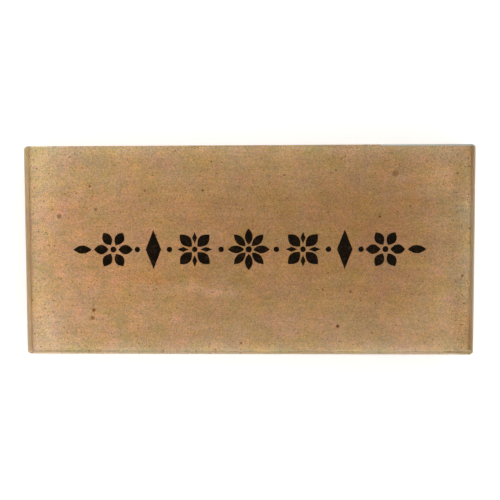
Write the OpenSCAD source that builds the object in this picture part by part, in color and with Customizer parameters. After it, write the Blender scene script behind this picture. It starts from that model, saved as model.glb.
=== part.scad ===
// Decoupage glass paperweight: a thick slab of polished glass, a letterpress sheet
// glued face up under it, and a felt base. Millimetres.
// The slab lies flat with its length along X, its width along Y and its face up, +Z.
// The origin is on the surface that it rests on, under the slab's centre.

/* [Glass slab] */
// Length of the glass
slab_l = 190.5; // [60:0.5:400]
// Width of the glass
slab_w = 88.9; // [40:0.1:250]
// Thickness of the glass
slab_t = 12.7; // [6:0.1:30]
// Leg of the arris ground along the upper edges
arris_top = 0.8; // [0.2:0.1:2]
// Leg of the arris ground along the lower edges
arris_low = 0.3; // [0.1:0.1:1]
// Leg of the flat that dubs off each upright corner
corner_cut = 1.1; // [0.5:0.1:4]

/* [Printed sheet] */
// Thickness of the sheet with its glue and sealer
sheet_t = 0.2; // [0.1:0.05:0.6]
// How far the sheet is trimmed back from the edge of the glass's lower face
sheet_trim = 0.1; // [0:0.1:3]

/* [Felt base] */
// Thickness of the felt
felt_t = 1; // [0.5:0.1:3]
// How far the felt is cut back from the sides of the glass
felt_inset = 1; // [0.5:0.1:5]

/* [Hidden] */

// Heights of the faces that are glued together
felt_top = felt_t;
sheet_top = felt_top + sheet_t;

// Distance from the slab's centre line to each pair of parallel sides
half_l = slab_l / 2;
half_w = slab_w / 2;
half_corner = (half_l + half_w - corner_cut) / sqrt(2);

// Longer than the slab in any direction, for prisms that are cut to size
reach = slab_l + slab_w;

// The slab's outline, taken in by inset all round: a rectangle with dubbed corners
module slab_outline(inset) {
    intersection() {
        square([slab_l - 2 * inset, slab_w - 2 * inset], center = true);
        rotate(45) square(2 * (half_corner - inset), center = true);
    }
}

// An endless bar as wide as one pair of sides, with the arrises of both along it.
// Angle 0 gives the sides that face along X.
module ground_pair(half, angle) {
    rotate([90, 0, angle])
        linear_extrude(height = reach, center = true)
            polygon([
                [-half + arris_low, 0],
                [half - arris_low, 0],
                [half, arris_low],
                [half, slab_t - arris_top],
                [half - arris_top, slab_t],
                [-half + arris_top, slab_t],
                [-half, slab_t - arris_top],
                [-half, arris_low],
            ]);
}

// The glass: where the bars of its ends, its long sides and its corners all meet
module glass_slab() {
    color([0.84, 0.92, 0.88, 0.4])
        translate([0, 0, sheet_top])
            intersection() {
                ground_pair(half_l, 0);
                ground_pair(half_w, 90);
                ground_pair(half_corner, 45);
                ground_pair(half_corner, -45);
            }
}

// The sheet: cut to the glass's lower face, inside its arris
module printed_sheet() {
    color([0.67, 0.53, 0.37])
        translate([0, 0, felt_top])
            linear_extrude(height = sheet_t)
                slab_outline(arris_low + sheet_trim);
}

// The felt: covers the sheet and keeps back from the sides of the glass
module felt_base() {
    color([0.12, 0.2, 0.15])
        linear_extrude(height = felt_t)
            slab_outline(felt_inset);
}

glass_slab();
printed_sheet();
felt_base();
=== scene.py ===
"""Looks of a decoupage glass paperweight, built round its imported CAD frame.

A slab of clear soda-lime glass with hand-ground edges lies on a felt base. An old
letterpress sheet is glued face up to its underside, so that it is seen through the
glass: once straight down, and again in the mirrors that the slab's sides make.
"""

import logging
import math
from collections.abc import Iterable, Sequence
from dataclasses import dataclass, field
from enum import Enum

import bpy
from mathutils import Matrix, Vector, noise

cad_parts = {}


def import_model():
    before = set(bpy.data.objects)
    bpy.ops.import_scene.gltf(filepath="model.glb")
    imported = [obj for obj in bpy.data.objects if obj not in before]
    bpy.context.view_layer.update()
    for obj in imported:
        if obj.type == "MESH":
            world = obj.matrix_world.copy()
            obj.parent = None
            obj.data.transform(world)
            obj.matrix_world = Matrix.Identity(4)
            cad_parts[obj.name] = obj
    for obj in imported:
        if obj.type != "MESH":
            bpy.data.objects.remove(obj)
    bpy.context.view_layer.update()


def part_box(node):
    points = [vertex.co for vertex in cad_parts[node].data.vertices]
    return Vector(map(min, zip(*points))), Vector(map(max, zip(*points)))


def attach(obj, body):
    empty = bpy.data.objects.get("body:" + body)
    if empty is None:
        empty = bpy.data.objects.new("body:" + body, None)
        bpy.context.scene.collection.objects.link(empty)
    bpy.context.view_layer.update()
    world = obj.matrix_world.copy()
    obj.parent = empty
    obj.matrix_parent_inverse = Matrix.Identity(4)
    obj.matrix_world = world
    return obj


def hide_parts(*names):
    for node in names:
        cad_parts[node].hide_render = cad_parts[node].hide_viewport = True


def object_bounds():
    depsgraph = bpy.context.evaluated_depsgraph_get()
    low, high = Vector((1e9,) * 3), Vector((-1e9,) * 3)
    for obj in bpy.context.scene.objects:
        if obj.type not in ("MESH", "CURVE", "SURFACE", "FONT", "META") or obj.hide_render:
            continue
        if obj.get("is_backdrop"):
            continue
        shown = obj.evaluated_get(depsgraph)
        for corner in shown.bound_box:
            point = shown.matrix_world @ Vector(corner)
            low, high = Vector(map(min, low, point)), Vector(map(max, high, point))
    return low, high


LOG = logging.getLogger("paperweight")

MM = 0.001
BODY = "root"
ROUNDING_STEPS = 3
PULP_HARSHNESS = 0.8  # How strong the finer parts of the paper's noises are

# Sockets of the Mix node for colours, which shares its socket names between types
MIX_FACTOR, MIX_A, MIX_B, MIX_RESULT = 0, 6, 7, 2

Tree, Node, Socket = bpy.types.NodeTree, bpy.types.Node, bpy.types.NodeSocket
Material, Piece = bpy.types.Material, bpy.types.Object
Colour = tuple[float, float, float, float]
Point = tuple[float, float]


def linear(code: str) -> Colour:
    """Turns an sRGB hex colour into the linear colour that a socket holds.

    Args:
        code: The colour, such as "#D8C09A".

    Returns:
        Red, green, blue and an alpha of 1.
    """
    channels = [int(code[i : i + 2], 16) / 255 for i in (1, 3, 5)]
    red, green, blue = (c / 12.92 if c <= 0.04045 else ((c + 0.055) / 1.055) ** 2.4 for c in channels)
    return red, green, blue, 1.0


def add_node(tree: Tree, kind: str, inputs: dict | None = None, **settings) -> Node:
    """Adds one node to a tree, sets it up and wires it.

    Args:
        tree: The node tree that takes the node.
        kind: The node's type, such as "ShaderNodeTexNoise".
        inputs: A value, or an output socket to link, by input name or number.
        settings: The node's own settings, such as operation="SCALE".

    Returns:
        The new node.
    """
    node = tree.nodes.new(kind)
    for name, value in settings.items():
        setattr(node, name, value)
    for key, value in (inputs or {}).items():
        if isinstance(value, Socket):
            tree.links.new(value, node.inputs[key])
        else:
            node.inputs[key].default_value = value
    return node


def new_material(name: str) -> tuple[Material, Tree]:
    """Makes a material whose node tree is still empty.

    Args:
        name: The material's name.

    Returns:
        The material and its tree.
    """
    material = bpy.data.materials.new(name)
    material.use_nodes = True
    material.node_tree.nodes.clear()
    return material, material.node_tree


def millimetres(tree: Tree) -> Socket:
    """Gives the piece's own coordinates in millimetres, so that scales are real sizes."""
    place = add_node(tree, "ShaderNodeTexCoord").outputs["Object"]
    return add_node(tree, "ShaderNodeVectorMath", {0: place, "Scale": 1 / MM}, operation="SCALE").outputs[0]


def matt_surface(tree: Tree, colour: Socket, roughness: float) -> None:
    """Ends a material's tree in a matt surface without any gloss.

    Args:
        tree: The material's tree.
        colour: The surface's colour.
        roughness: Its roughness.
    """
    surface = add_node(
        tree,
        "ShaderNodeBsdfPrincipled",
        {"Base Color": colour, "Roughness": roughness, "Specular IOR Level": 0.0},
    )
    add_node(tree, "ShaderNodeOutputMaterial", {"Surface": surface.outputs[0]})


def tinged(
    tree: Tree,
    level: Socket,
    begins: float,
    whole: float,
    colour: Socket | Colour,
    tone: str,
    strength: float = 1.0,
) -> Socket:
    """Blends a tone into a colour, more and more as a level goes from one value to another.

    Args:
        tree: The tree that takes the nodes.
        level: The level.
        begins: Its value where the tone begins.
        whole: Its value from where the tone is whole, which may be the lower of the two.
        colour: The colour under the tone.
        tone: The tone.
        strength: How much of the tone there is where it is whole.

    Returns:
        The colour with the tone in it.
    """
    share = add_node(
        tree,
        "ShaderNodeMapRange",
        {"Value": level, "From Min": begins, "From Max": whole, "To Max": strength},
        interpolation_type="SMOOTHSTEP",
    )
    return add_node(
        tree,
        "ShaderNodeMix",
        {MIX_FACTOR: share.outputs[0], MIX_A: colour, MIX_B: linear(tone)},
        data_type="RGBA",
    ).outputs[MIX_RESULT]


def link_piece(name: str, mesh: bpy.types.Mesh) -> Piece:
    """Puts a mesh in the scene as an object at the origin.

    Args:
        name: The object's name.
        mesh: The mesh, in metres.

    Returns:
        The object.
    """
    piece = bpy.data.objects.new(name, mesh)
    bpy.context.scene.collection.objects.link(piece)
    return piece


def press_into(mesh: bpy.types.Mesh, low: Vector, high: Vector) -> None:
    """Moves the points that lie outside a box to its sides."""
    for vertex in mesh.vertices:
        vertex.co = [min(most, max(least, at)) for least, at, most in zip(low, vertex.co, high)]


def smooth(edge_low: float, edge_high: float, value: float) -> float:
    """Rises smoothly from 0 at edge_low to 1 at edge_high."""
    share = min(1.0, max(0.0, (value - edge_low) / (edge_high - edge_low)))
    return share * share * (3 - 2 * share)


# --- Loft: the closed plates that the slab, the sheet and the felt are ---------------


@dataclass(frozen=True)
class Level:
    """One ring of a plate, in metres.

    Attributes:
        inset: How far it is in from the outline.
        height: Its height.
    """

    inset: float
    height: float


@dataclass(frozen=True)
class Outline:
    """A rectangle with rounded corners, sampled all round at an even step.

    Attributes:
        half_x: Half its size along X, in metres.
        half_y: Half its size along Y.
        radius: Radius of its corners.
        step: Longest distance between samples.
        arc_steps: Samples round each corner.
    """

    half_x: float
    half_y: float
    radius: float
    step: float = 1.0 * MM
    arc_steps: int = 8

    def sides(self) -> tuple[int, int]:
        """Counts the steps along each side, with half of each corner at its ends.

        Returns:
            The steps along a side that runs with X, and along one that runs with Y.
        """
        straights = (2 * (half - self.radius) for half in (self.half_x, self.half_y))
        columns, rows = (math.ceil(length / self.step) + self.arc_steps for length in straights)
        return columns, rows

    def samples(self) -> list[tuple[Vector, Vector]]:
        """Lists each sample's place and outward normal, anticlockwise from the +X side.

        Returns:
            Pairs of 3-D vectors at height 0.
        """
        found = []
        quarter = math.pi / 2
        for corner, (sign_x, sign_y) in enumerate(((1, 1), (-1, 1), (-1, -1), (1, -1))):
            centre = Vector((sign_x * (self.half_x - self.radius), sign_y * (self.half_y - self.radius), 0))
            for i in range(self.arc_steps + 1):
                angle = quarter * (corner + i / self.arc_steps)
                normal = Vector((math.cos(angle), math.sin(angle), 0))
                found.append((centre + self.radius * normal, normal))
            half = self.half_y if corner % 2 else self.half_x
            length = 2 * (half - self.radius)
            along = Vector((-normal.y, normal.x, 0))
            start = found[-1][0]
            count = self.sides()[corner % 2] - self.arc_steps
            found += [(start + along * (length * i / count), normal) for i in range(1, count)]
        return found

    def rings(self, levels: Iterable[Level]) -> list[list[Vector]]:
        """Gives a plate's rings, one for each level of its section.

        Args:
            levels: The levels, from the lower face to the upper face.

        Returns:
            The points of each ring, anticlockwise.
        """
        rise = Vector((0, 0, 1))
        return [
            [place - normal * level.inset + rise * level.height for place, normal in self.samples()]
            for level in levels
        ]

    def cap(
        self, ring: Sequence[Vector], first: int, spare: int
    ) -> tuple[list[Vector], list[tuple[int, ...]]]:
        """Fills a flat ring with a grid of small even faces, as a lens needs.

        Args:
            ring: The ring, with a point for each sample.
            first: The number of its first point in the mesh.
            spare: The number that the first new point gets in the mesh.

        Returns:
            The points inside the ring, and the faces, which look up.
        """
        columns, rows = self.sides()
        size = len(ring)
        corner = self.arc_steps // 2
        left = corner + columns
        points = [
            Vector((ring[corner + i].x, ring[left + j].y, ring[0].z))
            for j in range(1, rows)
            for i in range(1, columns)
        ]

        def number(i: int, j: int) -> int:
            """Numbers the grid's points.

            Args:
                i: The column, from right to left.
                j: The row, from top to bottom.

            Returns:
                The point's number in the mesh.
            """
            if j == 0:
                return first + corner + i
            if i == columns:
                return first + left + j
            if j == rows:
                return first + left + rows + columns - i
            if i == 0:
                return first + (corner - j) % size
            return spare + (j - 1) * (columns - 1) + i - 1

        faces = [
            (number(i, j), number(i + 1, j), number(i + 1, j + 1), number(i, j + 1))
            for j in range(rows)
            for i in range(columns)
        ]
        return points, faces


def rounded_profile(corners: Sequence[Level], radius: float, steps: int) -> list[Level]:
    """Rounds the inner corners of a plate's section.

    Args:
        corners: The section's corners, from its lower face to its upper face.
        radius: Radius of the rounding.
        steps: Straight pieces in each rounding.

    Returns:
        The same section with a short arc at each corner but the first and last.
    """
    points = [Vector((level.inset, level.height)) for level in corners]
    found = [corners[0]]
    for before, here, after in zip(points, points[1:], points[2:]):
        back, on = (before - here).normalized(), (after - here).normalized()
        half_turn = (math.pi - back.angle(on)) / 2
        reach = radius * math.tan(half_turn)
        middle = here + (back + on).normalized() * (radius / math.cos(half_turn))
        start = (here + back * reach - middle).normalized()
        end = (here + on * reach - middle).normalized()
        for i in range(steps + 1):
            spot = middle + start.slerp(end, i / steps) * radius
            found.append(Level(spot.x, spot.y))
    found.append(corners[-1])
    return found


def loft(name: str, rings: Sequence[Sequence[Vector]], outline: Outline | None = None) -> Piece:
    """Skins rings of equal length into a closed piece with a flat cap at each end.

    Args:
        name: The piece's name.
        rings: Rings from the lower cap's to the upper cap's, each anticlockwise.
        outline: The outline that the rings follow, to fill the caps with a grid.

    Returns:
        The piece, with smooth walls and flat caps.
    """
    size = len(rings[0])
    points = [point for ring in rings for point in ring]
    walls = []
    for level in range(len(rings) - 1):
        low, high = level * size, (level + 1) * size
        walls += [(low + i, low + (i + 1) % size, high + (i + 1) % size, high + i) for i in range(size)]
    caps = []
    for ring, turned in ((0, True), (len(rings) - 1, False)):
        if outline is None:
            inside, faces = [], [tuple(range(ring * size, (ring + 1) * size))]
        else:
            inside, faces = outline.cap(rings[ring], ring * size, len(points))
        points += inside
        caps += [face[::-1] for face in faces] if turned else faces
    mesh = bpy.data.meshes.new(name)
    mesh.from_pydata(points, [], walls + caps)
    mesh.polygons.foreach_set("use_smooth", [i < len(walls) for i in range(len(walls) + len(caps))])
    mesh.update()
    return link_piece(name, mesh)


# --- Geometry Nodes -------------------------------------------------------------------


class SocketKind(Enum):
    """The kinds of named input that the trees below take."""

    COUNT = "NodeSocketInt"
    SIZE = "NodeSocketFloat"
    PLACE = "NodeSocketVector"
    FINISH = "NodeSocketMaterial"
    SHAPE = "NodeSocketGeometry"


@dataclass
class GeometryTree:
    """A Geometry Nodes tree with named inputs, which ends in one material.

    Attributes:
        name: The tree's name.
        inputs: The kind of each named input.
        tree: The tree itself.
        entry: The node that gives its inputs.
    """

    name: str
    inputs: dict[str, SocketKind]
    tree: Tree = field(init=False)
    entry: Node = field(init=False)

    def __post_init__(self) -> None:
        """Makes the tree, its inputs and its output."""
        self.tree = bpy.data.node_groups.new(self.name, "GeometryNodeTree")
        for label, kind in {"Shape": SocketKind.SHAPE, **self.inputs, "Finish": SocketKind.FINISH}.items():
            self.tree.interface.new_socket(label, in_out="INPUT", socket_type=kind.value)
        self.tree.interface.new_socket("Shape", in_out="OUTPUT", socket_type=SocketKind.SHAPE.value)
        self.entry = add_node(self.tree, "NodeGroupInput")

    def given(self, label: str) -> Socket:
        """Gives the socket that holds the named input."""
        return self.entry.outputs[label]

    def add(self, kind: str, inputs: dict | None = None, **settings) -> Node:
        """Adds a node to this tree, as add_node does."""
        return add_node(self.tree, kind, inputs, **settings)

    def close(self, shape: Socket) -> None:
        """Gives the shape its material and sends it out."""
        dressed = self.add("GeometryNodeSetMaterial", {"Geometry": shape, "Material": self.given("Finish")})
        self.add("NodeGroupOutput", {"Shape": dressed.outputs["Geometry"]})

    def grow(self, base: Piece, **values) -> bpy.types.Mesh:
        """Runs the tree on a piece and returns the result as a plain mesh.

        Args:
            base: The piece that the tree starts from, which stays as it was.
            values: The named inputs, with _ for a space.

        Returns:
            The mesh that the tree makes.
        """
        modifier = base.modifiers.new(self.name, "NODES")
        modifier.node_group = self.tree
        known = {s.name: s.identifier for s in self.tree.interface.items_tree if s.in_out == "INPUT"}
        for label, value in values.items():
            modifier[known[label.replace("_", " ")]] = value
        graph = bpy.context.evaluated_depsgraph_get()
        mesh = bpy.data.meshes.new_from_object(base.evaluated_get(graph), depsgraph=graph)
        base.modifiers.remove(modifier)
        return mesh


def scattered_fibres() -> GeometryTree:
    """Builds the tree that strews bent fibres over a piece's faces.

    Returns:
        A tree whose fibres lie along the surface at a Tilt of 0 and stand off it above that.
    """
    made = GeometryTree(
        "scattered fibres",
        {
            "Per Square Metre": SocketKind.SIZE,
            "Facing": SocketKind.PLACE,
            "Length": SocketKind.SIZE,
            "Thickness": SocketKind.SIZE,
            "Bend": SocketKind.SIZE,
            "Tilt": SocketKind.SIZE,
            "Seed": SocketKind.COUNT,
        },
    )
    facing = made.add(
        "ShaderNodeVectorMath",
        {0: made.add("GeometryNodeInputNormal").outputs["Normal"], 1: made.given("Facing")},
        operation="DOT_PRODUCT",
    )
    least_facing = -0.05  # Lets in faces that stand square to the chosen side
    chosen = made.add(
        "FunctionNodeCompare", {0: facing.outputs["Value"], 1: least_facing}, operation="GREATER_THAN"
    )
    points = made.add(
        "GeometryNodeDistributePointsOnFaces",
        {
            "Mesh": made.given("Shape"),
            "Selection": chosen.outputs[0],
            "Density": made.given("Per Square Metre"),
            "Seed": made.given("Seed"),
        },
    )
    radius = made.add(
        "ShaderNodeMath", {0: made.given("Length"), 1: made.given("Bend")}, operation="DIVIDE"
    )
    arc = made.add(
        "GeometryNodeCurveArc",
        {"Resolution": 4, "Radius": radius.outputs[0], "Sweep Angle": made.given("Bend")},
    )
    section = made.add(
        "GeometryNodeCurvePrimitiveCircle", {"Resolution": 3, "Radius": made.given("Thickness")}
    )
    fibre = made.add(
        "GeometryNodeCurveToMesh",
        {"Curve": arc.outputs["Curve"], "Profile Curve": section.outputs["Curve"], "Fill Caps": True},
    )
    # Moves the arc's root from one radius along X to the origin, where it takes hold
    middle = made.add("ShaderNodeCombineXYZ", {"X": radius.outputs[0]})
    back = made.add("ShaderNodeVectorMath", {0: middle.outputs[0], "Scale": -1.0}, operation="SCALE")
    rooted = made.add(
        "GeometryNodeSetPosition", {"Geometry": fibre.outputs[0], "Offset": back.outputs[0]}
    )
    most_turn = made.add("ShaderNodeCombineXYZ", {"X": made.given("Tilt"), "Z": math.tau})
    turn = made.add(
        "FunctionNodeRandomValue",
        {0: (0, 0, 0), 1: most_turn.outputs[0], "Seed": made.given("Seed")},
        data_type="FLOAT_VECTOR",
    )
    heading = made.add(
        "FunctionNodeRotateRotation",
        {"Rotation": points.outputs["Rotation"], "Rotate By": turn.outputs[0]},
        rotation_space="LOCAL",
    )
    shortest, longest = 0.35, 1.25  # Shares of Length
    growth = made.add("FunctionNodeRandomValue", {2: shortest, 3: longest, "Seed": made.given("Seed")})
    strewn = made.add(
        "GeometryNodeInstanceOnPoints",
        {
            "Points": points.outputs["Points"],
            "Instance": rooted.outputs["Geometry"],
            "Rotation": heading.outputs[0],
            "Scale": growth.outputs[1],
        },
    )
    made.close(made.add("GeometryNodeRealizeInstances", {"Geometry": strewn.outputs[0]}).outputs[0])
    return made


def printed_motif() -> GeometryTree:
    """Builds the tree that repeats one type-metal shape round a centre and inks it.

    Returns:
        A tree whose copies have the slightly uneven edge that squeezed ink has.
    """
    made = GeometryTree(
        "printed motif",
        {
            "Copies": SocketKind.COUNT,
            "Centre": SocketKind.PLACE,
            "First Turn": SocketKind.SIZE,
            "Squeeze": SocketKind.SIZE,
            "Squeeze Spacing": SocketKind.SIZE,
        },
    )
    step = made.add("ShaderNodeMath", {0: math.tau, 1: made.given("Copies")}, operation="DIVIDE")
    angle = made.add(
        "ShaderNodeMath",
        {
            0: made.add("GeometryNodeInputIndex").outputs[0],
            1: step.outputs[0],
            2: made.given("First Turn"),
        },
        operation="MULTIPLY_ADD",
    )
    spokes = made.add(
        "GeometryNodePoints", {"Count": made.given("Copies"), "Position": made.given("Centre")}
    )
    ring = made.add(
        "GeometryNodeInstanceOnPoints",
        {
            "Points": spokes.outputs[0],
            "Instance": made.given("Shape"),
            "Rotation": made.add("ShaderNodeCombineXYZ", {"Z": angle.outputs[0]}).outputs[0],
        },
    )
    solid = made.add("GeometryNodeRealizeInstances", {"Geometry": ring.outputs[0]})
    place = made.add("GeometryNodeInputPosition")
    rate = made.add("ShaderNodeMath", {0: 1.0, 1: made.given("Squeeze Spacing")}, operation="DIVIDE")
    ripple = made.add(
        "ShaderNodeTexNoise", {"Vector": place.outputs[0], "Scale": rate.outputs[0], "Detail": 2.0}
    )
    # Turns noise from 0 to 1 into a push from -1 to 1 along the sheet, with none across it
    level = made.add(
        "ShaderNodeVectorMath", {0: ripple.outputs["Color"], 1: (0.5, 0.5, 0.5)}, operation="SUBTRACT"
    )
    flat = made.add(
        "ShaderNodeVectorMath", {0: level.outputs[0], 1: (2.0, 2.0, 0.0)}, operation="MULTIPLY"
    )
    push = made.add(
        "ShaderNodeVectorMath", {0: flat.outputs[0], "Scale": made.given("Squeeze")}, operation="SCALE"
    )
    uneven = made.add("GeometryNodeSetPosition", {"Geometry": solid.outputs[0], "Offset": push.outputs[0]})
    made.close(uneven.outputs[0])
    return made


# --- Finishes -------------------------------------------------------------------------


@dataclass(frozen=True)
class SodaLimeGlass:
    """Soda-lime float glass: clear face on, faintly green through its length.

    Attributes:
        name: The material's name.
        ior: Refractive index of soda-lime glass.
        roughness: 0 on a polished face, and more on a ground one.
        clarity: Share of the surface that is clear, where the rest is matt.
        face: Colour of the surface itself.
        tint: Colour that a unit of depth lets through.
        density: Units of depth in a metre.
    """

    name: str = "polished soda-lime glass"
    ior: float = 1.52
    roughness: float = 0.0
    clarity: float = 1.0
    face: str = "#FFFFFF"
    tint: str = "#BFE3D2"
    density: float = 2.5

    def make(self) -> Material:
        """Builds the material.

        Returns:
            The material.
        """
        material, tree = new_material(self.name)
        surface = add_node(
            tree,
            "ShaderNodeBsdfPrincipled",
            {
                "Base Color": linear(self.face),
                "Roughness": self.roughness,
                "IOR": self.ior,
                "Transmission Weight": self.clarity,
            },
        )
        depth = add_node(
            tree, "ShaderNodeVolumeAbsorption", {"Color": linear(self.tint), "Density": self.density}
        )
        add_node(
            tree, "ShaderNodeOutputMaterial", {"Surface": surface.outputs[0], "Volume": depth.outputs[0]}
        )
        return material


@dataclass(frozen=True)
class StainOrPaintedLight:
    """A soft oval of another tone in the old sheet, in millimetres: a stain, or a patch of painted light.

    Attributes:
        x: Where its middle is along X, from the sheet's centre.
        y: Where it is along Y.
        reach_x: Half its size along X.
        reach_y: Half its size along Y.
        tone: Its colour.
        strength: How much of that colour its core has.
        core: The share of its reach that is full strength.
    """

    x: float
    y: float
    reach_x: float
    reach_y: float
    tone: str
    strength: float
    core: float = 0.1

    def tinge(self, tree: Tree, place: Socket, colour: Socket) -> Socket:
        """Blends the patch into a colour.

        Args:
            tree: The tree that takes the nodes.
            place: Coordinates in millimetres.
            colour: The colour under the patch.

        Returns:
            The colour with the patch in it.
        """
        away = add_node(
            tree, "ShaderNodeVectorMath", {0: place, 1: (self.x, self.y, 0.0)}, operation="SUBTRACT"
        )
        squeezed = add_node(
            tree,
            "ShaderNodeVectorMath",
            {0: away.outputs[0], 1: (1 / self.reach_x, 1 / self.reach_y, 0.0)},
            operation="MULTIPLY",
        )
        length = add_node(tree, "ShaderNodeVectorMath", {0: squeezed.outputs[0]}, operation="LENGTH")
        return tinged(tree, length.outputs["Value"], 1.0, self.core, colour, self.tone, self.strength)


def foxing(x: float, y: float, radius: float, tone: str, strength: float) -> StainOrPaintedLight:
    """Gives a small round spot of rust or dirt, which has a firmer core than a cloud."""
    return StainOrPaintedLight(x, y, radius, radius, tone, strength, core=0.45)


@dataclass(frozen=True)
class PaintedGlow:
    """Painted light: a paler band along one side of the sheet, standing in for the light that falls on it
    from that side.

    Attributes:
        way: Direction of the border from the sheet's centre.
        away: Its distance, in millimetres.
        reach: Distance over which its paleness falls to a third.
        strength: Its paleness at the very edge.
    """

    way: tuple[float, float, float]
    away: float
    reach: float
    strength: float


class Shift(Enum):
    """What a pattern in the pulp changes, by the noise output that gives it."""

    SHADE = "Fac"
    HUE = "Color"


@dataclass(frozen=True)
class Pulp:
    """One of the uneven patterns in which rag pulp settled on the mould.

    Attributes:
        spacing: Distance between its largest patches, in millimetres.
        detail: How many finer patterns it has in it.
        swing: How much it changes red, green and blue, from its darkest to its palest.
        shift: Whether it changes them together or each for itself.
        run: Less than 1 draws it out along X, the way the pulp ran.
    """

    spacing: float
    detail: float
    swing: tuple[float, float, float]
    shift: Shift = Shift.SHADE
    run: float = 1.0

    def tinge(self, tree: Tree, place: Socket, colour: Socket) -> Socket:
        """Raises and lowers a colour by the pattern, which is a half on average.

        Args:
            tree: The tree that takes the nodes.
            place: Coordinates in millimetres.
            colour: The colour without the pattern.

        Returns:
            The colour with the pattern in it.
        """
        drawn = add_node(
            tree, "ShaderNodeVectorMath", {0: place, 1: (self.run, 1.0, 1.0)}, operation="MULTIPLY"
        )
        pattern = add_node(
            tree,
            "ShaderNodeTexNoise",
            {
                "Vector": drawn.outputs[0],
                "Scale": 1 / self.spacing,
                "Detail": self.detail,
                "Roughness": PULP_HARSHNESS,
            },
        )
        middle = tuple(1 - share / 2 for share in self.swing)
        level = add_node(
            tree,
            "ShaderNodeVectorMath",
            {0: pattern.outputs[self.shift.value], 1: self.swing, 2: middle},
            operation="MULTIPLY_ADD",
        )
        return add_node(
            tree, "ShaderNodeVectorMath", {0: colour, 1: level.outputs[0]}, operation="MULTIPLY"
        ).outputs[0]


@dataclass(frozen=True)
class AgedPaper:
    """Rag paper, browned with age and laid under glue, so that it has no gloss.

    Under glass, light that the sheet sends out is partly thrown back on it. That dims it
    and deepens its colour, so the sheet's own tones are paler than it looks.
    The pulp's patterns are drawn coarser than real ones, so that they show.

    Attributes:
        browned: Tone of its middle.
        pale: Tone of the painted light along its sides.
        pulp: The patterns in its pulp.
        speck: Tone of the rust and bran specks in it.
        speck_spacing: Distance between the places where a speck may be, in millimetres.
        speck_from: Level of the noise at which a speck begins.
        speck_full: Level at which it is whole.
        speck_strength: How much of its tone a whole speck has.
        cloud_spacing: Distance over which a cloud's outline wanders, in millimetres.
        cloud_wander: How far it wanders along X and Y, from one side to the other.
        painted_glows: Painted light along its sides, which makes them paler.
        clouds: Wide soft patches of other tones, stains and painted light, which lie under the pulp's
            patterns.
        spots: Small stains, which lie over them.
    """

    browned: str = "#C49A6A"
    pale: str = "#FFE5BC"
    pulp: tuple[Pulp, ...] = (
        Pulp(12.0, 4.0, (0.4, 0.4, 0.5)),
        Pulp(12.0, 2.0, (0.3, 0.3, 0.8), Shift.HUE),
        Pulp(2.4, 2.0, (0.3, 0.4, 0.5), run=0.12),
        Pulp(0.5, 1.0, (1.1, 1.1, 1.1)),
        Pulp(0.5, 1.0, (0.3, 0.3, 1.4), Shift.HUE),
    )
    speck: str = "#A0602A"
    speck_spacing: float = 1.2
    speck_from: float = 0.64
    speck_full: float = 0.74
    speck_strength: float = 0.8
    cloud_spacing: float = 14.0
    cloud_wander: Point = (20.0, 12.0)
    painted_glows: tuple[PaintedGlow, ...] = ()
    clouds: tuple[StainOrPaintedLight, ...] = ()
    spots: tuple[StainOrPaintedLight, ...] = ()

    def make(self) -> Material:
        """Builds the material.

        Returns:
            The material.
        """
        material, tree = new_material("aged rag paper")
        place = millimetres(tree)
        loose = self.wandering(tree, place)
        # The sheet's tone, made paler towards its sides by painted light
        colour = add_node(
            tree,
            "ShaderNodeMix",
            {MIX_FACTOR: self.painted_glow_share(tree, place), MIX_A: linear(self.browned), MIX_B: linear(self.pale)},
            data_type="RGBA",
        ).outputs[MIX_RESULT]
        for cloud in self.clouds:
            colour = cloud.tinge(tree, loose, colour)
        for pattern in self.pulp:
            colour = pattern.tinge(tree, place, colour)
        peaks = add_node(
            tree,
            "ShaderNodeTexNoise",
            {"Vector": place, "Scale": 1 / self.speck_spacing, "Detail": 1.0, "Roughness": PULP_HARSHNESS},
        )
        colour = tinged(
            tree,
            peaks.outputs[0],
            self.speck_from,
            self.speck_full,
            colour,
            self.speck,
            self.speck_strength,
        )
        for spot in self.spots:
            colour = spot.tinge(tree, place, colour)
        matt_surface(tree, colour, roughness=0.9)
        return material

    def painted_glow_share(self, tree: Tree, place: Socket) -> Socket:
        """Adds up the painted light along the sides, which falls off smoothly from each edge.

        Args:
            tree: The tree that takes the nodes.
            place: Coordinates in millimetres.

        Returns:
            The share of the pale tone of painted light.
        """
        total: Socket | float = 0.0
        for margin in self.painted_glows:
            along = add_node(
                tree, "ShaderNodeVectorMath", {0: place, 1: margin.way}, operation="DOT_PRODUCT"
            )
            depth = add_node(
                tree,
                "ShaderNodeMath",
                {0: along.outputs["Value"], 1: 1 / margin.reach, 2: -margin.away / margin.reach},
                operation="MULTIPLY_ADD",
            )
            fall = add_node(tree, "ShaderNodeMath", {0: depth.outputs[0]}, operation="EXPONENT")
            total = add_node(
                tree,
                "ShaderNodeMath",
                {0: fall.outputs[0], 1: margin.strength, 2: total},
                operation="MULTIPLY_ADD",
            ).outputs[0]
        return total

    def wandering(self, tree: Tree, place: Socket) -> Socket:
        """Moves places about a little, so that a cloud's outline is uneven.

        Args:
            tree: The tree that takes the nodes.
            place: Coordinates in millimetres.

        Returns:
            The coordinates that a cloud is drawn in.
        """
        across, along = self.cloud_wander
        drift = add_node(
            tree, "ShaderNodeTexNoise", {"Vector": place, "Scale": 1 / self.cloud_spacing, "Detail": 2.0}
        )
        shift = add_node(
            tree,
            "ShaderNodeVectorMath",
            {0: drift.outputs["Color"], 1: (across, along, 0.0), 2: (-across / 2, -along / 2, 0.0)},
            operation="MULTIPLY_ADD",
        )
        return add_node(
            tree, "ShaderNodeVectorMath", {0: place, 1: shift.outputs[0]}, operation="ADD"
        ).outputs[0]


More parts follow.
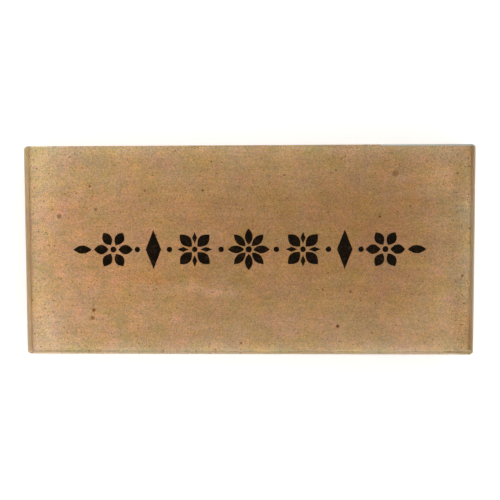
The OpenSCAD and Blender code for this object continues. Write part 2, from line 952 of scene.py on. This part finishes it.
@dataclass(frozen=True)
class PrintersInk:
    """Black letterpress ink, browned with age and thin in places where the type bit less.

    Attributes:
        full: Tone of a full film.
        thin: Tone of a thin one.
        bites_per_mm: How closely thin and full places follow each other.
        thin_from: Level of the noise above which the film begins to thin.
        thin_full: Level at which it is thinnest.
    """

    full: str = "#1C150D"
    thin: str = "#4A3626"
    bites_per_mm: float = 1.1
    thin_from: float = 0.5
    thin_full: float = 0.8

    def make(self) -> Material:
        """Builds the material.

        Returns:
            The material.
        """
        material, tree = new_material("letterpress ink")
        place = millimetres(tree)
        bite = add_node(
            tree, "ShaderNodeTexNoise", {"Vector": place, "Scale": self.bites_per_mm, "Detail": 4.0}
        )
        film = tinged(tree, bite.outputs[0], self.thin_from, self.thin_full, linear(self.full), self.thin)
        matt_surface(tree, film, roughness=0.7)
        return material


@dataclass(frozen=True)
class WoolFelt:
    """Pressed wool baize: matt, with a soft sheen and a matted bump of crossed fibres.

    Attributes:
        deep: Tone between the tufts.
        light: Tone of the tufts.
        tufts_per_mm: How closely the tufts stand.
        nap: How far they stand up.
    """

    deep: str = "#1F3328"
    light: str = "#34503F"
    tufts_per_mm: float = 1.6
    nap: float = 0.2 * MM

    def make(self) -> Material:
        """Builds the material.

        Returns:
            The material.
        """
        material, tree = new_material("wool baize")
        place = millimetres(tree)
        tufts = add_node(
            tree, "ShaderNodeTexNoise", {"Vector": place, "Scale": self.tufts_per_mm, "Detail": 5.0}
        )
        colour = add_node(
            tree,
            "ShaderNodeMix",
            {MIX_FACTOR: tufts.outputs[0], MIX_A: linear(self.deep), MIX_B: linear(self.light)},
            data_type="RGBA",
        )
        bump = add_node(
            tree, "ShaderNodeBump", {"Height": tufts.outputs[0], "Distance": self.nap, "Strength": 0.7}
        )
        surface = add_node(
            tree,
            "ShaderNodeBsdfPrincipled",
            {
                "Base Color": colour.outputs[MIX_RESULT],
                "Roughness": 0.95,
                "Sheen Weight": 0.4,
                "Sheen Roughness": 0.5,
                "Normal": bump.outputs[0],
            },
        )
        add_node(tree, "ShaderNodeOutputMaterial", {"Surface": surface.outputs[0]})
        return material


@dataclass(frozen=True)
class LooseFibre:
    """Loose fibres: matt, and a little uneven in tone from place to place.

    Attributes:
        name: The material's name.
        tone: One end of its range of tones.
        other: The other end.
        changes_per_mm: How soon the tone changes.
    """

    name: str
    tone: str
    other: str
    changes_per_mm: float = 0.3

    def make(self) -> Material:
        """Builds the material.

        Returns:
            The material.
        """
        material, tree = new_material(self.name)
        place = millimetres(tree)
        drift = add_node(
            tree, "ShaderNodeTexNoise", {"Vector": place, "Scale": self.changes_per_mm, "Detail": 1.0}
        )
        colour = add_node(
            tree,
            "ShaderNodeMix",
            {MIX_FACTOR: drift.outputs[0], MIX_A: linear(self.tone), MIX_B: linear(self.other)},
            data_type="RGBA",
        )
        matt_surface(tree, colour.outputs[MIX_RESULT], roughness=0.9)
        return material


# --- The pieces -----------------------------------------------------------------------


@dataclass(frozen=True)
class Chip:
    """A small shell-shaped flake lost from the slab's upper arris, in millimetres.

    Attributes:
        x: Where its middle is along X, from the slab's centre.
        y: Where it is along Y.
        radius: Its radius.
        depth: How far it goes in and down.
    """

    x: float
    y: float
    radius: float
    depth: float


class Edging(Enum):
    """How glass was finished, by its material's place in the slab's list."""

    POLISHED = 0
    GROUND = 1
    # Ground rough, with a pale blue-grey matt share that is partly a painted reflection of cool light
    ROUGH_GLINT = 2


@dataclass
class GlassSlab:
    """The slab, with arrises ground by hand and a few small chips in them.

    Attributes:
        arris_top: Leg of the arris along the upper edges, as in the CAD model.
        arris_low: Leg of the arris along the lower edges.
        corner: Radius of the dubbed upright corners.
        softening: Radius that polishing leaves on each edge of an arris.
        waver: How much the width of an arris changes along its length.
        wave: Distance over which it changes.
        apron: Strip of the upper face beside the arris, inside the corners' radius.
        glint_from: Where along X the arris at the back is left rough, with a painted pale reflection, as
            far as the +X end.
        end_facing: How squarely a face looks along X where it belongs to an end.
        arris_facing: How far a face looks both back and up where it belongs to that arris.
        chips: The chips.
    """

    arris_top: float = 0.8 * MM
    arris_low: float = 0.3 * MM
    corner: float = 1.5 * MM
    softening: float = 0.1 * MM
    waver: float = 0.13 * MM
    wave: float = 16 * MM
    apron: float = 0.5 * MM
    glint_from: float = 56 * MM
    end_facing: float = 0.6
    arris_facing: float = 0.3
    chips: tuple[Chip, ...] = (
        Chip(86.2, -44.4, 1.1, 0.45),
        Chip(-86.4, 44.4, 0.9, 0.35),
        Chip(24.6, 44.4, 0.7, 0.3),
        Chip(95.2, 27.0, 0.8, 0.35),
        Chip(-95.2, -31.0, 0.6, 0.25),
    )

    def build(self) -> Piece:
        """Makes the slab's mesh where the CAD node is.

        Returns:
            The slab, with the finish of each of its faces.
        """
        low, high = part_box("glass_slab")
        outline = Outline(high.x, high.y, self.corner)
        ribs = []
        for place, normal in outline.samples():
            rib = []
            for level in self.section(place, high.z - low.z):
                point = place - normal * max(0.0, level.inset)
                point.z = low.z + level.height
                rib.append(self.chipped(point, normal, high.z))
            ribs.append(rib)
        slab = loft("slab_of_glass", list(zip(*ribs)), outline)
        for finish in (
            SodaLimeGlass(),
            SodaLimeGlass("hand-ground glass edge", roughness=0.3, clarity=0.65, face="#BEAC92"),
            # Rough arris: its pale blue-grey matt share is partly a painted reflection of cool light
            SodaLimeGlass("rough glass arris with painted glint", roughness=0.5, clarity=0.5, face="#C4CCCC"),
        ):
            slab.data.materials.append(finish.make())
        for polygon in slab.data.polygons:
            polygon.material_index = self.finish(polygon).value
        return slab

    def finish(self, face: bpy.types.MeshPolygon) -> Edging:
        """Tells how a face was finished: the ends are ground, and part of one arris is rough with a painted
        reflection.

        Args:
            face: One face of the slab.

        Returns:
            Its finish.
        """
        if abs(face.normal.x) > self.end_facing:
            return Edging.GROUND
        if min(face.normal.y, face.normal.z) > self.arris_facing and face.center.x > self.glint_from:
            return Edging.ROUGH_GLINT
        return Edging.POLISHED

    def section(self, place: Vector, thickness: float) -> list[Level]:
        """Gives the slab's section at one place on its outline.

        Args:
            place: The place on the outline.
            thickness: The slab's thickness.

        Returns:
            Levels from the lower face to the upper face.
        """
        upper = self.arris_top - self.waver * (1 + noise.noise(place / self.wave)) / 2
        lower = self.arris_low
        margin = 3 * self.softening
        rounded = rounded_profile(
            [
                Level(lower + margin, 0),
                Level(lower, 0),
                Level(0, lower),
                Level(0, thickness - upper),
                Level(upper, thickness),
                Level(upper + margin, thickness),
            ],
            self.softening,
            ROUNDING_STEPS,
        )
        arc = ROUNDING_STEPS + 1
        to_wall, to_arris = 1 + 2 * arc, 1 + 3 * arc
        foot, shoulder, brow = rounded[:to_wall], rounded[to_wall:to_arris], rounded[to_arris:]
        wall = [Level(0, lower + margin), Level(0, thickness - upper - margin)]
        arris = [Level(upper * share, thickness - upper * (1 - share)) for share in (1 / 3, 2 / 3)]
        return [*foot, *wall, *shoulder, *arris, *brow, Level(upper + self.apron, thickness)]

    def chipped(self, point: Vector, normal: Vector, top: float) -> Vector:
        """Moves a point into the bowl of any chip that it lies in.

        Args:
            point: The point on the whole slab.
            normal: The outline's outward normal there.
            top: Height of the slab's face.

        Returns:
            The point on the chipped slab.
        """
        floor = 0.25  # Share of a chip's radius over which it has its full depth
        for chip in self.chips:
            away = (point - Vector((chip.x * MM, chip.y * MM, top - self.arris_top / 2))).length
            share = 1 - smooth(floor, 1.0, away / (chip.radius * MM))
            point = point - (normal + Vector((0, 0, 1))) * (share * chip.depth * MM / 2)
        return point


@dataclass
class PrintedSheet:
    """The old sheet, pressed up into its glue so that no gap shows along the slab's foot.

    Attributes:
        bedding: How far the face lies up in the glue, past the glass's lower face.
        corner: Radius of its trimmed corners.
        lap_reach: How far its feathered edge laps out over the slab's lower arris.
        lap_rise: How far that edge rises up the arris.
        lap_width: Width of the strip over which the face bends up to that edge.
        step: Longest distance between the points of its outline.
        shives_per_square_metre: How thickly coarse fibres lie on its face.
        shive_length: Length of a middling one.
        shive_thickness: Its radius, drawn coarser than rag so that it shows.
    """

    bedding: float = 0.05 * MM
    corner: float = 1.3 * MM
    lap_reach: float = 0.35 * MM
    lap_rise: float = 0.3 * MM
    lap_width: float = 1.2 * MM
    step: float = 2 * MM
    shives_per_square_metre: float = 20_000.0
    shive_length: float = 1.6 * MM
    shive_thickness: float = 0.03 * MM

    @property
    def face(self) -> float:
        """Height of the printed face."""
        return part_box("printed_sheet")[1].z + self.bedding

    def build(self) -> Piece:
        """Makes the sheet's mesh.

        Returns:
            The sheet.
        """
        low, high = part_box("printed_sheet")
        outline = Outline(high.x, high.y, self.corner, self.step)
        edge = Level(-self.lap_reach, high.z + self.lap_rise)
        levels = [Level(0, low.z), edge, Level(self.lap_width - self.lap_reach, self.face)]
        return loft("sheet_of_paper", outline.rings(levels), outline)

    def shives(self, paper: Piece, fibres: GeometryTree, finish: Material) -> Piece:
        """Strews the coarse fibres of poorly beaten rag over the sheet's face.

        Args:
            paper: The sheet.
            fibres: The tree that strews fibres.
            finish: The fibres' material.

        Returns:
            The fibres, kept inside the sheet's trimmed edges and under the lap's edge.
        """
        mesh = fibres.grow(
            paper,
            Per_Square_Metre=self.shives_per_square_metre,
            Facing=(0.0, 0.0, 1.0),
            Length=self.shive_length,
            Thickness=self.shive_thickness,
            Bend=0.9,
            Tilt=0.0,
            Seed=3,
            Finish=finish,
        )
        low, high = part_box("printed_sheet")
        press_into(mesh, low, high + Vector((0.0, 0.0, self.lap_rise)))
        return link_piece("paper_shives", mesh)


class Sort(Enum):
    """The plain type-metal shapes that the ornament is set from."""

    PETAL = "petal"
    LOZENGE = "lozenge"
    BEAD = "bead"


@dataclass(frozen=True)
class Motif:
    """One shape, or a ring of copies of it round a centre on the sheet's middle line.

    Attributes:
        sort: The shape.
        x: The centre's distance from the sheet's centre, in millimetres.
        half_length: Half the shape's length, away from the centre.
        half_width: Half its width.
        copies: How many stand round the centre.
        orbit: Distance from the centre to the middle of each.
        first_turn: Turn of the first copy, in degrees.
    """

    sort: Sort
    x: float
    half_length: float
    half_width: float
    copies: int = 1
    orbit: float = 0.0
    first_turn: float = 0.0

    def outline(self) -> list[Point]:
        """Gives the shape's outline, lengthwise along X and centred on its orbit.

        Returns:
            Its points, in millimetres, anticlockwise.
        """
        steps = 48
        found = []
        for i in range(steps):
            angle = math.tau * i / steps
            x, y = math.cos(angle), math.sin(angle)
            if self.sort is Sort.PETAL:
                y *= abs(y)
            elif self.sort is Sort.LOZENGE:
                spread = abs(x) + abs(y)
                x, y = x / spread, y / spread
            found.append((self.orbit + self.half_length * x, self.half_width * y))
        return found


@dataclass
class Ornament:
    """A printer's ornament of flowers, lozenges and beads, the same to left and right.

    Attributes:
        film: Height that the ink stands above the sheet.
        squeeze: How far the ink is squeezed out past the type, at most.
        squeeze_spacing: Distance over which that changes.
        centre: Motifs on the centre line.
        side: Motifs that are set to the right and, mirrored, to the left.
    """

    film: float = 0.03 * MM
    squeeze: float = 0.16 * MM
    squeeze_spacing: float = 1.1 * MM
    centre: tuple[Motif, ...] = (
        Motif(Sort.BEAD, 0, 1.4, 1.4),
        Motif(Sort.PETAL, 0, 3.6, 1.7, copies=8, orbit=5.5),
    )
    side: tuple[Motif, ...] = (
        Motif(Sort.BEAD, 12.0, 1.2, 1.2),
        Motif(Sort.BEAD, 23.5, 1.2, 1.2),
        Motif(Sort.PETAL, 23.5, 3.7, 2.3, copies=4, orbit=5.4, first_turn=45),
        Motif(Sort.LOZENGE, 23.5, 2.6, 1.1, copies=4, orbit=5.0),
        Motif(Sort.BEAD, 34.5, 1.2, 1.2),
        Motif(Sort.LOZENGE, 41.5, 3.4, 8.6),
        Motif(Sort.BEAD, 48.5, 1.2, 1.2),
        Motif(Sort.BEAD, 59.0, 1.3, 1.3),
        Motif(Sort.PETAL, 59.0, 3.2, 2.1, copies=6, orbit=5.3),
        Motif(Sort.PETAL, 72.5, 4.0, 1.8),
    )

    def build(self, face: float, finish: Material) -> Piece:
        """Prints every motif and joins them into one piece.

        Args:
            face: Height of the printed face.
            finish: The ink.

        Returns:
            The ornament.
        """
        tree = printed_motif()
        points: list[Vector] = []
        faces: list[tuple[int, ...]] = []
        for motif, way in self.placed():
            stamp = self.stamp(motif, face)
            mesh = tree.grow(
                stamp,
                Copies=motif.copies,
                Centre=(way * motif.x * MM, 0.0, 0.0),
                First_Turn=math.radians(motif.first_turn if way > 0 else 180 - motif.first_turn),
                Squeeze=self.squeeze,
                Squeeze_Spacing=self.squeeze_spacing,
                Finish=finish,
            )
            faces += [tuple(len(points) + v for v in polygon.vertices) for polygon in mesh.polygons]
            points += [vertex.co.copy() for vertex in mesh.vertices]
            bpy.data.objects.remove(stamp)
        joined = bpy.data.meshes.new("printed_ornament")
        joined.from_pydata(points, [], faces)
        joined.materials.append(finish)
        return link_piece("printed_ornament", joined)

    def placed(self) -> Iterable[tuple[Motif, int]]:
        """Gives each motif with the half of the sheet that it is set in.

        Yields:
            The motif, and 1 for the right half or -1 for the left.
        """
        yield from ((motif, 1) for motif in self.centre)
        for motif in self.side:
            yield motif, 1
            yield motif, -1

    def stamp(self, motif: Motif, face: float) -> Piece:
        """Makes one shape as a thin closed film of ink on the face.

        Args:
            motif: The motif whose shape it is.
            face: Height of the printed face.

        Returns:
            The film, round the origin.
        """
        rings = [
            [Vector((x * MM, y * MM, height)) for x, y in motif.outline()]
            for height in (face - self.film / 2, face + self.film)
        ]
        return loft("stamp", rings)


@dataclass
class FeltBase:
    """The felt, cut a little small, with a fuzz of wool standing off its cut edges.

    Attributes:
        corner: Radius of its corners.
        edge: Rounding of its cut edges.
        step: Longest distance between the points of its outline.
        hairs_per_square_metre: How thickly the fuzz grows.
        hair_length: Length of a middling hair.
        hair_thickness: Radius of a hair, drawn coarser than wool so that it shows.
    """

    corner: float = 1.2 * MM
    edge: float = 0.3 * MM
    step: float = 1.5 * MM
    hairs_per_square_metre: float = 420_000.0
    hair_length: float = 0.6 * MM
    hair_thickness: float = 0.02 * MM

    def build(self) -> Piece:
        """Makes the felt's mesh.

        Returns:
            The felt.
        """
        low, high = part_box("felt_base")
        outline = Outline(high.x, high.y, self.corner, self.step)
        corners = [
            Level(2 * self.edge, low.z),
            Level(0, low.z),
            Level(0, high.z),
            Level(2 * self.edge, high.z),
        ]
        levels = rounded_profile(corners, self.edge, ROUNDING_STEPS)
        return loft("base_of_felt", outline.rings(levels), outline)

    def fuzz(self, felt: Piece, fibres: GeometryTree, finish: Material) -> Piece:
        """Grows the wool that stands off the felt's sides and underside.

        Args:
            felt: The felt.
            fibres: The tree that strews fibres.
            finish: The wool's material.

        Returns:
            The fuzz, kept above what the felt rests on.
        """
        mesh = fibres.grow(
            felt,
            Per_Square_Metre=self.hairs_per_square_metre,
            Facing=(0.0, 0.0, -1.0),
            Length=self.hair_length,
            Thickness=self.hair_thickness,
            Bend=1.4,
            Tilt=0.7,
            Seed=7,
            Finish=finish,
        )
        low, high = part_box("felt_base")
        stray = Vector((self.hair_length, self.hair_length, 0.0))
        press_into(mesh, low - stray, high + stray)
        return link_piece("felt_fuzz", mesh)


# --- The studio -----------------------------------------------------------------------


@dataclass(frozen=True)
class SoftBox:
    """A square lamp behind a diffuser.

    Attributes:
        name: The lamp's name.
        place: Where it hangs, in metres from the slab.
        size: Its side.
        level: How bright its face is, where white paper in full light is 1.
    """

    name: str
    place: tuple[float, float, float]
    size: float
    level: float

    def hang(self, aim: Vector) -> None:
        """Makes the lamp and turns it to the slab.

        Args:
            aim: The point that it faces.
        """
        light = bpy.data.lights.new(self.name, "AREA")
        light.shape = "SQUARE"
        light.size = self.size
        light.energy = self.level * math.pi * self.size**2
        lamp = bpy.data.objects.new(self.name, light)
        lamp.location = self.place
        lamp.rotation_euler = (aim - lamp.location).to_track_quat("-Z", "Y").to_euler()
        lamp.visible_camera = False
        bpy.context.scene.collection.objects.link(lamp)


@dataclass
class Studio:
    """A pale floor and backdrop, two soft boxes, and a camera above the slab.

    Attributes:
        camera_offset: From the centre of the slab's outline to the camera, in metres.
        camera_aim: The point of the slab's outline plane that it looks at.
        camera_roll: Its turn about its own axis, in degrees.
        lens: Its focal length, in millimetres, on a 36 mm frame.
        boxes: The lamps.
        sky_level: How much brighter than they look the walls and ceiling light the slab.
        wall_level: How bright the walls look in the glass, where white is 1.
        ceiling_level: How bright the ceiling over the camera looks in it.
        window_share: How much brighter the walls are on the +X side than on average.
        wall_top: Height at which the walls begin to pass into the ceiling, in degrees.
        ceiling_foot: Height at which the ceiling is reached.
        floor_tone: Colour of the floor.
        floor_reach: Distance from the slab's centre to the floor's sides.
        floor_lift: Light that the floor adds to sight alone, so that it shows white.
    """

    camera_offset: tuple[float, float, float] = (0.0118, 0.0209, 0.3492)
    camera_aim: Point = (0.0008, 0.0002)
    camera_roll: float = -0.19
    lens: float = 59.5
    boxes: tuple[SoftBox, ...] = (
        SoftBox("back_box", (-0.3, 0.42, 0.34), 0.3, 2.4),
        SoftBox("front_box", (-0.3, -0.42, 0.34), 0.3, 2.4),
    )
    sky_level: float = 2.1
    wall_level: float = 0.8
    ceiling_level: float = 0.04
    window_share: float = 0.7
    wall_top: float = 25.0
    ceiling_foot: float = 65.0
    floor_tone: str = "#F6F5F2"
    floor_reach: float = 3.0
    floor_lift: float = 0.4

    def build(self) -> None:
        """Sets up the floor, the light and the camera."""
        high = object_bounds()[1]
        self.floor()
        self.room()
        for box in self.boxes:
            box.hang(Vector((0, 0, high.z)))
        self.camera(high.z)
        scene = bpy.context.scene
        scene.view_settings.view_transform = "Standard"
        # Keeps the glass clear to light that the sheet has scattered, so that its sides stay
        # mirrors, and follows that light as it is thrown to and fro between the glass and the sheet
        scene.cycles.blur_glossy = 0.0
        scene.cycles.max_bounces = 24
        scene.cycles.glossy_bounces = 16
        scene.cycles.diffuse_bounces = 8

    def floor(self) -> None:
        """Lays a wide pale floor that shows white but keeps the slab's shadow.

        It is open under the felt, so that a view from below shows the felt.
        """
        low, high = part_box("felt_base")
        lap = 1 * MM
        outer, inner = (self.floor_reach, self.floor_reach), (high.x - lap, high.y - lap)
        mesh = bpy.data.meshes.new("studio_floor")
        corners = [
            (x * across, y * along, low.z)
            for across, along in (outer, inner)
            for x, y in ((-1, -1), (1, -1), (1, 1), (-1, 1))
        ]
        sides = [(side, (side + 1) % 4, (side + 1) % 4 + 4, side + 4) for side in range(4)]
        mesh.from_pydata(corners, [], sides)
        floor = link_piece("studio_floor", mesh)
        material, tree = new_material("white seamless paper")
        matt = add_node(tree, "ShaderNodeBsdfDiffuse", {"Color": linear(self.floor_tone)})
        lift = add_node(
            tree, "ShaderNodeEmission", {"Strength": self.first_sight(tree, self.floor_lift, 0.0)}
        )
        both = add_node(tree, "ShaderNodeAddShader", {0: matt.outputs[0], 1: lift.outputs[0]})
        add_node(tree, "ShaderNodeOutputMaterial", {"Surface": both.outputs[0]})
        mesh.materials.append(material)
        floor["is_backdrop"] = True

    def room(self) -> None:
        """Makes the backdrop: white to look at, dimmer as a light, and darker overhead."""
        world = bpy.data.worlds.new("pale room")
        bpy.context.scene.world = world
        world.use_nodes = True
        tree = world.node_tree
        tree.nodes.clear()
        way = add_node(tree, "ShaderNodeTexCoord").outputs["Generated"]
        split = add_node(tree, "ShaderNodeSeparateXYZ", {0: way})
        ceiling = add_node(
            tree,
            "ShaderNodeMapRange",
            {
                "Value": split.outputs["Z"],
                "From Min": math.sin(math.radians(self.wall_top)),
                "From Max": math.sin(math.radians(self.ceiling_foot)),
                "To Min": self.wall_level,
                "To Max": self.ceiling_level,
            },
            interpolation_type="SMOOTHSTEP",
        )
        camera = add_node(tree, "ShaderNodeLightPath").outputs["Is Camera Ray"]
        seen = add_node(
            tree, "ShaderNodeMix", {0: camera, 2: ceiling.outputs[0], 3: 1.0}, data_type="FLOAT"
        ).outputs[0]
        window = add_node(
            tree,
            "ShaderNodeMath",
            {0: split.outputs["X"], 1: self.window_share * self.sky_level, 2: self.sky_level},
            operation="MULTIPLY_ADD",
        )
        strength = add_node(
            tree,
            "ShaderNodeMath",
            {0: seen, 1: self.first_sight(tree, 1.0, window.outputs[0])},
            operation="MULTIPLY",
        )
        backdrop = add_node(
            tree, "ShaderNodeBackground", {"Color": linear("#FFFFFF"), "Strength": strength.outputs[0]}
        )
        add_node(tree, "ShaderNodeOutputWorld", {"Surface": backdrop.outputs[0]})

    @staticmethod
    def first_sight(tree: Tree, seen: float, lit: float | Socket) -> Socket:
        """Gives one value to sight, straight or by glass and gloss, and another to lighting.

        Args:
            tree: The tree that takes the nodes.
            seen: The value for camera rays, and what mirrors and glass make of them.
            lit: The value once a matt surface has scattered the light.

        Returns:
            The value's socket.
        """
        scattered = add_node(
            tree,
            "ShaderNodeMath",
            {0: add_node(tree, "ShaderNodeLightPath").outputs["Diffuse Depth"], 1: 0.5},
            operation="GREATER_THAN",
        )
        return add_node(
            tree, "ShaderNodeMix", {0: scattered.outputs[0], 2: seen, 3: lit}, data_type="FLOAT"
        ).outputs[0]

    def camera(self, top: float) -> None:
        """Hangs the camera over the slab, a little off its centre.

        Args:
            top: Height of the slab's face.
        """
        data = bpy.data.cameras.new("overhead_camera")
        data.lens = self.lens
        data.clip_start = 0.01
        camera = bpy.data.objects.new("overhead_camera", data)
        plane = Vector((0, 0, top))
        camera.location = plane + Vector(self.camera_offset)
        sight = plane + Vector((*self.camera_aim, 0)) - camera.location
        right = sight.cross(Vector((0, 1, 0))).normalized()
        level = Matrix((right, right.cross(sight).normalized(), -sight.normalized())).transposed()
        roll = Matrix.Rotation(math.radians(self.camera_roll), 3, "Z")
        camera.rotation_euler = (level @ roll).to_euler()
        bpy.context.scene.collection.objects.link(camera)
        bpy.context.scene.camera = camera


# --- Assembly -------------------------------------------------------------------------

# Painted light: paler bands along the sides, where light enters the glass, and a wide one that lightens the
# left half
PAINTED_GLOWS = (
    PaintedGlow((1, 0, 0), 95, 10, 1.0),
    PaintedGlow((-1, 0, 0), 95, 8, 1.0),
    PaintedGlow((-1, 0, 0), 95, 60, 0.3),
    PaintedGlow((0, 1, 0), 44, 8, 0.55),
    PaintedGlow((0, -1, 0), 44, 12, 0.5),
    PaintedGlow((0, -1, 0), 44, 1.5, 0.3),
)

CLOUDS = (
    # Painted light and paper tone: this first cloud lightens the left half, as light from the left does,
    # and tints it pinker
    StainOrPaintedLight(-72, -4, 80, 60, "#EEB88A", 0.4),
    StainOrPaintedLight(-22, -18, 28, 4, "#F4CEA6", 0.5),
    StainOrPaintedLight(-42, -12, 20, 3, "#D89C62", 0.35),
    StainOrPaintedLight(62, 18, 44, 34, "#C0946A", 0.4),
    StainOrPaintedLight(96, 38, 26, 22, "#E2B478", 0.45),
    StainOrPaintedLight(96, -34, 30, 28, "#DCB074", 0.45),
)

SPOTS = (
    foxing(38.5, -33.5, 1.0, "#7A4A1C", 0.95),
    foxing(-69, 27.5, 0.7, "#96581A", 0.95),
    foxing(-82.5, 14.5, 1.4, "#7E6A50", 0.7),
    foxing(-68, -26.5, 1.0, "#9A5820", 0.95),
    foxing(-68.5, -30, 1.2, "#A86430", 0.8),
    foxing(63, 32.5, 1.8, "#8A5638", 0.55),
    foxing(92, -11.5, 0.8, "#96702E", 0.85),
    foxing(-66.5, 17.5, 0.9, "#85583A", 0.7),
    foxing(44, -18.5, 0.7, "#7C5A30", 0.85),
    foxing(56.5, 14, 0.7, "#75482A", 0.85),
    foxing(89.5, 32.5, 0.7, "#8E6A3E", 0.7),
    foxing(40, 39, 0.6, "#8E6A3E", 0.7),
    foxing(32, -17.5, 0.7, "#7C5A30", 0.7),
    foxing(-20, 25.5, 0.8, "#885C38", 0.7),
    foxing(-45, 25.5, 0.7, "#7C5440", 0.7),
    foxing(37.5, 34, 0.7, "#806048", 0.6),
    foxing(69.5, 18.5, 0.7, "#806048", 0.6),
    foxing(15.5, 32, 0.7, "#885C38", 0.6),
    foxing(-3.5, -41, 0.7, "#96702E", 0.85),
)


def add_piece(
    piece: Piece,
    finish: Material | None = None,
    replaces: str | None = None,
) -> None:
    """Dresses a piece and makes it part of the object.

    Args:
        piece: The piece.
        finish: Its material, where it has none yet.
        replaces: The CAD node that it stands for.
    """
    if finish is not None:
        piece.data.materials.clear()
        piece.data.materials.append(finish)
    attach(piece, BODY)
    if replaces is not None:
        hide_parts(replaces)
    LOG.info("%s: %d faces", piece.name, len(piece.data.polygons))


def main() -> None:
    """Builds the paperweight round its frame, and the studio round that."""
    logging.basicConfig(level=logging.INFO, format="%(name)s: %(message)s")
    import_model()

    fibres = scattered_fibres()
    add_piece(GlassSlab().build(), replaces="glass_slab")

    sheet = PrintedSheet()
    paper = sheet.build()
    rag = AgedPaper(painted_glows=PAINTED_GLOWS, clouds=CLOUDS, spots=SPOTS).make()
    add_piece(paper, rag, replaces="printed_sheet")
    shives = sheet.shives(paper, fibres, LooseFibre("unbleached shive", "#A87A4E", "#BC8E62").make())
    add_piece(shives)
    add_piece(Ornament().build(sheet.face, PrintersInk().make()))

    base = FeltBase()
    felt = base.build()
    add_piece(felt, WoolFelt().make(), replaces="felt_base")
    fuzz = base.fuzz(felt, fibres, LooseFibre("loose wool", "#2A4334", "#3C5A49").make())
    add_piece(fuzz)

    Studio().build()


if __name__ == "__main__":
    main()
